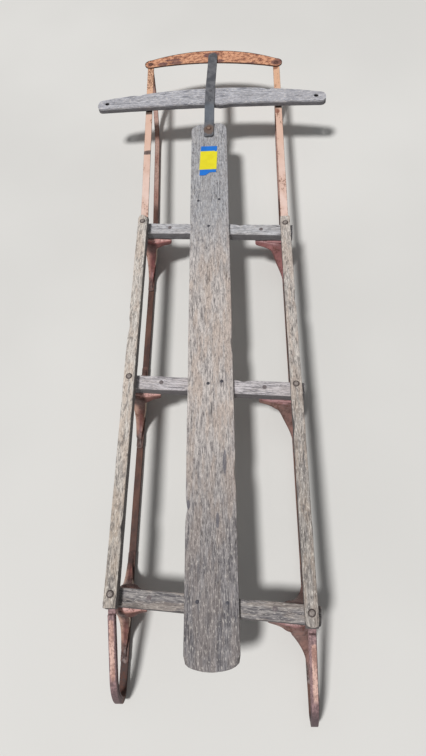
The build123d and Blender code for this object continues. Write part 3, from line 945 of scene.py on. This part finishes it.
def make_strap():
    """The steel strap: flat on the deck, up over the bar, and down to the bumper."""
    pivot, far = JOINT_PLACES["steering"], JOINT_PLACES["bumper_swivel"]
    width, thick, bend = 25.4, 4.0, 15.0
    length, turn = way(pivot, far)
    low, top, front = 142.3, 154.5, 139.4
    behind, flat, climb, crest_end, fall = 27.0, 34.0, 44.0, 153.3, 116.0
    rear_slope, front_slope = degrees(atan2(top - low, climb)), degrees(atan2(top - front, fall))
    rear_tangent, front_tangent = tangent(bend, rear_slope), tangent(bend, front_slope)
    right = (1, 0, 0)
    tail_rings = ((0.0, 0.62), (1.2, 0.82), (1.6, 0.93), (2.2, 1.0))
    tail = sum(step for step, _ in tail_rings)
    moves = (("straight", behind - tail + flat - rear_tangent, 5),
             ("bend", bend, rear_slope, right, 3),
             ("straight", hypot(climb, top - low) - 2 * rear_tangent, 3),
             ("bend", bend, -rear_slope, right, 3),
             ("straight", crest_end - (flat + climb) - rear_tangent - front_tangent, 6),
             ("bend", bend, -front_slope, right, 3),
             ("straight", hypot(fall, top - front) - 2 * front_tangent, 8),
             ("bend", bend, front_slope, right, 3),
             ("straight", length - crest_end - fall - front_tangent, 4))
    bar = flat_bar("steering_strap_bar", width, thick, (0, -behind, low), tail_rings, moves,
                   round_end(width / 2, 0.2))
    wear_bar(bar, width, 2.0, 1.0, 0.45, 18.0, 11.0)
    settle(bar, (pivot.x, pivot.y, 0), turn)
    fit(bar, "steering", strap_steel, "strap_steel", "steering_strap")


def make_bumper():
    """The bowed pressed plate: a flat face inside a small raised rim."""
    half, end, sheet, rim_wide, rim_high = BUMPER_HALF, 16.5, 2.4, 1.32, 1.4
    columns = both_ways([half + end * sin(pi / 2 * i / 6) for i in range(7)], even(-half, half, 30))
    tip = columns[-1]
    bumper = block("bowed_bumper", (2 * tip, 2, sheet), (0, 0, sheet / 2))
    slice_at(bumper, 0, columns[1:-1])
    slice_at(bumper, 1, (-0.9, -0.5, 0, 0.5, 0.9))

    def edges(x):
        if abs(x) > half:
            reach = sqrt(max(end ** 2 - (abs(x) - half) ** 2, 0.0))
            return -reach, reach
        return bow(x, half, -end, 3.5), bow(x, half, end, 56.5)

    shape_columns(bumper, columns, 2.0, edges)

    def from_edge(p):
        rear, front = edges(max(-tip, min(tip, p.x)))
        return min(p.y - rear, front - p.y)

    mark(bumper, "edge", lambda p: float(min(from_edge(p), tip + 0.01 - abs(p.x)) < rim_wide))
    edit(bumper)
    pick(lambda p, n: p.z > 2 and (abs(p.x) > tip - 1.2 or from_edge(p) < 0.6))
    push((0, 0, rim_high))
    ease_edges(bumper, 0.6, 2, 50)
    roughen(bumper, 0.7, 22.0, 1.0, seed=12.0)
    smooth(bumper)
    settle(bumper, (BUMPER_MIDDLE.x, BUMPER_MIDDLE.y, BUMPER_BOTTOM), BUMPER_TURN)
    fit(bumper, "bumper_bar", bumper_paint, "bumper_paint", "bumper")


# Knee, from the foot up: inward and height of the web, of the free edge, half width, share of the racking
KNEE_ROWS = (
    (-5, 12, 2, 12.2, 95, 0), (-5.6, 14.5, 3, 14.5, 91, 0), (-6.2, 17.5, 4.5, 17.5, 76, 0),
    (-6.5, 23, 7, 23, 61, 0), (-6.5, 29.5, 10.5, 29.5, 51, 0), (-6.5, 38.5, 15, 38.5, 43.5, 0.05),
    (-6.5, 48, 19.5, 48, 37.5, 0.1), (-6.3, 61, 24.5, 61, 32.5, 0.2), (-5.6, 74, 28, 74, 29.5, 0.35),
    (-4, 86, 31, 85, 28.5, 0.6), (0, 96, 34.5, 92, 28.5, 0.8), (11, 103.2, 39, 92.3, 27, 0.95),
    (34, 105.4, 45, 91.2, 22.5, 1), (49, 105.6, 51, 90.6, 20, 1), (57, 105.6, 57, 90.6, 18.5, 1),
    (62, 105.6, 62, 91.6, 17.5, 1), (66, 105.6, 66, 92.8, 16.8, 1), (68.5, 105.6, 68.5, 95.6, 15.5, 1))

# From the bead up its middle to a turned side: the place across as a share of the half width and in
# millimetres, the depth in the channel, and the bulge
KNEE_COLUMNS = (
    (0, 0, 1, 3.4), (0, 2.6, 1, 2.4), (0, 6, 1, 0), (0.6, 0, 1, 0), (1, -3.572, 0.94, 0),
    (1, -1.71, 0.45, 0), (1, 0, 0, 0))


def knee_point(row, column, inner):
    """A point of the sheet. Column 0 is the bead, and the columns on its other side are below 0."""
    web_inward, web_height, edge_inward, edge_height, half, racked = KNEE_ROWS[row]
    share, offset, depth, bulge = KNEE_COLUMNS[abs(column)]
    across = (half * share + offset) * (1 if column > 0 else -1)
    inward = edge_inward + (web_inward - edge_inward) * depth + bulge * (1 - racked)
    height = edge_height + (web_height - edge_height) * depth
    turn = radians(RACKING) * racked
    spread_x, spread_y = -across * sin(turn), across * cos(turn)
    return Vector((inner * inward + spread_x, inner * inward * sin(turn) + spread_y, height))


def make_knee(side):
    """A pressed channel with its web outside, flared onto the runner and turned in under the bench."""
    inner = -SIDES[side]
    last_row, last_column = len(KNEE_ROWS) - 1, len(KNEE_COLUMNS) - 1
    points = {(row, column): knee_point(row, column, inner) for row in range(last_row + 1)
              for column in range(-last_column, last_column + 1)}
    below, near = -500, 0.01
    clear_choice()
    bpy.ops.mesh.primitive_grid_add(x_subdivisions=last_row, y_subdivisions=2 * last_column, size=2,
                                    location=(0, 0, below))
    sheet = added("knee_sheet")
    edit(sheet)
    for (row, column), point in points.items():
        start = Vector((-1 + 2 * row / last_row, column / last_column, below))
        pick(lambda p, n: (p - start).length < near)
        push(point - start)
    if inner < 0:
        bpy.ops.mesh.select_all(action="SELECT")
        bpy.ops.mesh.flip_normals()
    for name, columns in (("edge", (6,)), ("fold", (5,)), ("corner", (4, 3))):
        chosen = [point for (_, column), point in points.items() if abs(column) in columns]
        mark(sheet, name, lambda p: float(any((p - point).length < near for point in chosen)))
    modify(sheet, "SOLIDIFY", thickness=2.2, offset=-1.0)
    modify(sheet, "SUBSURF", levels=1, render_levels=1)
    tongue = block("knee_tongue", (48, 38, 2.4), (inner * 16.0, 0, ARM_BOTTOM + 1.25))
    ease_edges(tongue, 0.8)
    added("knee_tongue", turn=(0, 0, radians(RACKING)))
    foot = block("knee_foot", (14, 2, 2.5), (0, 0, RUNNER_TOP + 1.25))
    slice_at(foot, 0, (-4.5, 0, 4.5))
    edit(foot)
    for sense in (1, -1):
        pick(lambda p, n: sense * p.y > 0)
        push((0, sense * 94, 0))
        for x, rounding in ((-4.5, 3.5), (0, 4.5), (4.5, 3.5)):
            pick(lambda p, n: abs(p.x - x) < 0.1 and sense * p.y > 0)
            push((0, sense * rounding, 0))
    ease_edges(foot, 0.6)
    rivets = [rivet_head(3.4, 2.0, (0, y, RUNNER_TOP + 2.3)) for y in (-84, -46, 46, 84)]
    nut = hex_nut(8.0, 6.0, (0, 0, ARM_BOTTOM - 6.4))
    return joined("knee", [sheet, tongue, foot, nut] + rivets)


def rivet_head(radius, height, place, sides=16):
    """A low domed head."""
    head = pin("rivet_head", sides, radius, height * 0.4, place)
    edit(head, "FACE")
    pick(lambda p, n: n.z > 0.9, "FACE")
    for share, lift in ((0.3, 0.3), (0.35, 0.2), (0.2, 0.1)):
        bpy.ops.mesh.inset(thickness=radius * share)
        push((0, 0, height * lift))
    smooth(head, 60)
    return head


def hex_nut(radius, height, place):
    """A nut with the bolt's end below it."""
    nut = pin("hex_nut", 6, radius, height, place)
    ease_edges(nut, 0.6, 1, 20)
    edit(nut, "FACE")
    pick(lambda p, n: n.z < -0.9, "FACE")
    bpy.ops.mesh.inset(thickness=2.4)
    bpy.ops.mesh.inset(thickness=0.6)
    extrude((0, 0, -2.6))
    smooth(nut, 30)
    return nut


# How far each knee's leg and arm lean in and its top spreads, as shares of the plain one, and by how
# many millimetres its web has swollen outwards
KNEE_BENDS = {
    ("left", "front"): (0.86, 0.92, 1.0, 2.0), ("left", "middle"): (0.84, 0.85, 1.0, 4.0),
    ("left", "rear"): (0.74, 0.80, 1.0, 3.2), ("right", "front"): (1.0, 1.0, 1.0, 0.0),
    ("right", "middle"): (1.05, 1.05, 1.0, 0.0), ("right", "rear"): (1.02, 1.02, 0.9, 0.0)}
LEG_FROM, LEG_TO = RUNNER_TOP + 5, 88


def make_knees():
    for side in SIDES:
        first = make_knee(side)
        smooth(first, 40)
        for row in ROWS:
            knee = copy_of(first, f"pressed_knee_{row}_{side}")
            edit(knee)
            leg_lean, arm_lean, spread, swell = KNEE_BENDS[side, row]
            pick(lambda p, n: LEG_FROM < p.z < LEG_TO)
            stretch((leg_lean, 1, 1), (0, 0, 0))
            pick(lambda p, n: p.z > LEG_TO)
            stretch((arm_lean, 1, 1), (0, 0, 0))
            pick(lambda p, n: p.z > LEG_TO - 8)
            stretch((1, spread, 1), (0, 0, 0))
            if swell:
                pick(lambda p, n: p.x < -3 and LEG_FROM < p.z < LEG_TO + 2)
                push((-swell, 0, 0))
            at = BOLTS[side, row]
            settle(knee, (at.x, at.y, 0))
            fit(knee, "root", knee_red, "knee_red", f"knee_{row}_{side}")
        bpy.data.objects.remove(first)


def scatter(head, name, places, height, turn, body, finish):
    """Copies of a head at each (x, y) of places, each turned on by turn degrees."""
    for index, (end, (x, y)) in enumerate(places.items()):
        twin = copy_of(head, f"{name}_{end}")
        settle(twin, (x, y, height), turn * index)
        fit(twin, body, finish, "fastener_steel")
    bpy.data.objects.remove(head)


def numbered(*places):
    """The places under 1, 2, 3 and so on."""
    return dict(enumerate(places, 1))


def make_small_parts():
    """Nail, screw and rivet heads, and the paper tag with its two strips of tape."""
    nails = numbered((-92.7, 177.2), (121.2, 156.2), (-92.1, -235.7), (115.0, -254.4), (-92.3, -646.3),
                     (118.3, -664.0))
    screws = numbered((0.1, 166.2), (-25.3, 247.8), (24.6, 248.6), (4.2, -247.0), (31.1, -243.2),
                      (-9.1, -654.2), (40.6, -655.9))
    rivets = {side: (RIVETS[side].x, RIVETS[side].y) for side in SIDES}
    scatter(rivet_head(4.4, 0.9, (0, 0, -0.1)), "bench_nail", nails, BENCH_TOP, 20, "root", nail_steel)
    scatter(rivet_head(3.4, 0.9, (0, 0, -0.2), 14), "deck_screw", screws, DECK_TOP, 0, "root", dark_rivet)
    scatter(rivet_head(6.4, 2.2, (0, 0, -0.1), 20), "bumper_rivet", rivets, BUMPER_BOTTOM + 2.4, 0,
            "bumper_bar", rusty_rivet)
    make_slip("paper_tag", 42.6, 65.0, 0.3, (-2.6, 382.4), -1.8, tag_paper)
    make_slip("tape_upper", 41.0, 19.0, 0.25, (-1.6, 422.9), -3.6, blue_tape)
    make_slip("tape_lower", 40.0, 15.0, 0.25, (-3.4, 343.2), -4.0, blue_tape, ((-1, -6), (1, 5)))


def make_slip(name, width, length, thick, place, turn, finish, torn=()):
    """A slip of paper or tape on the deck. Each torn corner is (side, move along the slip)."""
    slip = plate(name, width, length, (0, 0, 0))
    slice_at(slip, 0, even(-width / 2, width / 2, 8))
    slice_at(slip, 1, even(-length / 2, length / 2, 10))
    for sense, move in torn:
        pick(lambda p, n: sense * p.x > 0 and p.y < -length / 2 + 0.1)
        drag((0, move, 0), length * 0.8, "LINEAR")
    roughen(slip, 0.7, 22.0, 1.0, seed=width, direction="Z")
    modify(slip, "SOLIDIFY", thickness=thick, offset=1.0)
    smooth(slip)
    settle(slip, (place[0], place[1], DECK_TOP + 0.9), turn)
    fit(slip, "root", finish, "deck_wood")


for side in SIDES:
    make_runner(side)
    make_strip(side)
make_strap()
make_bumper()
make_knees()
make_small_parts()

# CAD pieces whose shape is right keep it and take a finish
BOLT_STEELS = {"rail": bolt_steel, "deck": deck_bolt_steel, "handlebar": bar_bolt_steel,
               "bumper": bar_bolt_steel}
for name, node in frame["nodes"].items():
    if "bolt" in name or "washer" in name or "pivot" in name:
        node.data.materials.clear()
        node.data.materials.append(BOLT_STEELS[name.split("_")[0]])


# Floor, light and camera

FLOOR_PALE = (222, 220, 216)


def make_floor():
    finish = Finish("pale_floor")
    cloud = finish.noise(1.2, 3.0, 0.5, 14.0)
    finish.colour = finish.mix(cloud.rise(0.3, 0.7), (214, 212, 208), FLOOR_PALE)
    clear_choice()
    bpy.ops.mesh.primitive_plane_add(size=24, location=(0, 0, 0))
    floor = added("floor")
    floor.data.materials.append(finish.done(0.9))


def make_light():
    sun_data = bpy.data.lights.new("key", "SUN")
    sun_data.energy = 2.77
    sun_data.angle = radians(9)
    sun = new_object("key", sun_data)
    sun.rotation_euler = Vector((0.266, 0.33, -1.0)).to_track_quat("-Z", "Y").to_euler()
    world = bpy.data.worlds.new("studio")
    bpy.context.scene.world = world
    world.use_nodes = True
    nodes, links = world.node_tree.nodes, world.node_tree.links
    nodes.clear()
    path = nodes.new("ShaderNodeLightPath")
    both = nodes.new("ShaderNodeMixShader")
    out = nodes.new("ShaderNodeOutputWorld")
    links.new(path.outputs["Is Camera Ray"], both.inputs[0])
    for place, colour, strength in ((1, (0.96, 0.98, 1.0, 1), 0.22), (2, tint(*FLOOR_PALE), 1.0)):
        light = nodes.new("ShaderNodeBackground")
        light.inputs["Color"].default_value = colour
        light.inputs["Strength"].default_value = strength
        links.new(light.outputs[0], both.inputs[place])
    links.new(both.outputs[0], out.inputs["Surface"])


def make_camera():
    data = bpy.data.cameras.new("camera")
    data.sensor_width = 36.0
    data.lens = 27.51
    camera = new_object("camera", data)
    camera.location = (0.10866, -0.77938, 1.14847)
    camera.rotation_euler = (radians(28.2573), radians(5.1367), radians(0.4441))
    bpy.context.scene.camera = camera
    bpy.context.scene.view_settings.view_transform = "Standard"


make_floor()
make_light()
make_camera()
clear_choice()
